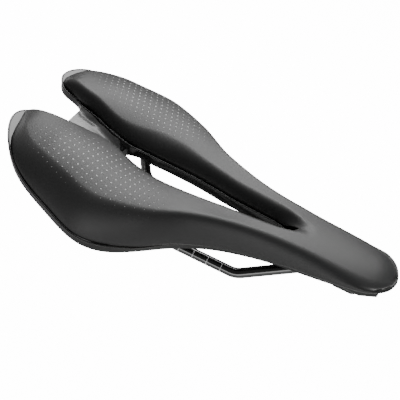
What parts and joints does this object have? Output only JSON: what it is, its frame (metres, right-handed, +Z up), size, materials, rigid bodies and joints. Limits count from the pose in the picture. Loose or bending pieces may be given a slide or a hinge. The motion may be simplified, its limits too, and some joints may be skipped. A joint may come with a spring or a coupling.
{
  "type": "bicycle saddle",
  "caption": "Short-nose road bicycle saddle: split padded wings with a rear notch, full-length central cut-out, gloss shell rim and round bent rails underneath.",
  "frame": {"origin": "midpoint between the two rails, at rail-centre height, in the middle of their straight clamping length", "axes": "+X towards the nose, +Y to the rider's left, +Z up; the rails' straight lengths run along X"},
  "size_m": [0.2559, 0.1474, 0.0585],
  "materials": {
    "shell": "gloss black moulded shell",
    "bridge": "satin light grey plate",
    "foam": "dark polyurethane foam",
    "cover": "matte black synthetic cover with fine grain",
    "insert": "soft pocket of loose grains",
    "rail": "satin black rail",
    "marks": "white printed marks",
    "bushing": "black elastomer",
    "socket": "black moulded nylon",
    "screw": "zinc-plated steel",
    "clip": "matte black plug"
  },
  "bodies": {
    "root": {"base_shell": "shell", "bridge_plate": "bridge", "foam_padding": "foam", "pad_cover": "cover", "left_sit_insert": "insert", "right_sit_insert": "insert", "left_rail": "rail", "right_rail": "rail", "left_rail_marks": "marks", "right_rail_marks": "marks", "left_rail_bushing": "bushing", "right_rail_bushing": "bushing", "left_rear_socket": "socket", "right_rear_socket": "socket", "left_socket_cap": "socket", "right_socket_cap": "socket", "socket_screws": "screw", "nose_socket": "socket", "nose_cap": "socket", "nose_screws": "screw", "accessory_clip": "socket", "clip_cover": "clip"}
  },
  "joints": []
}
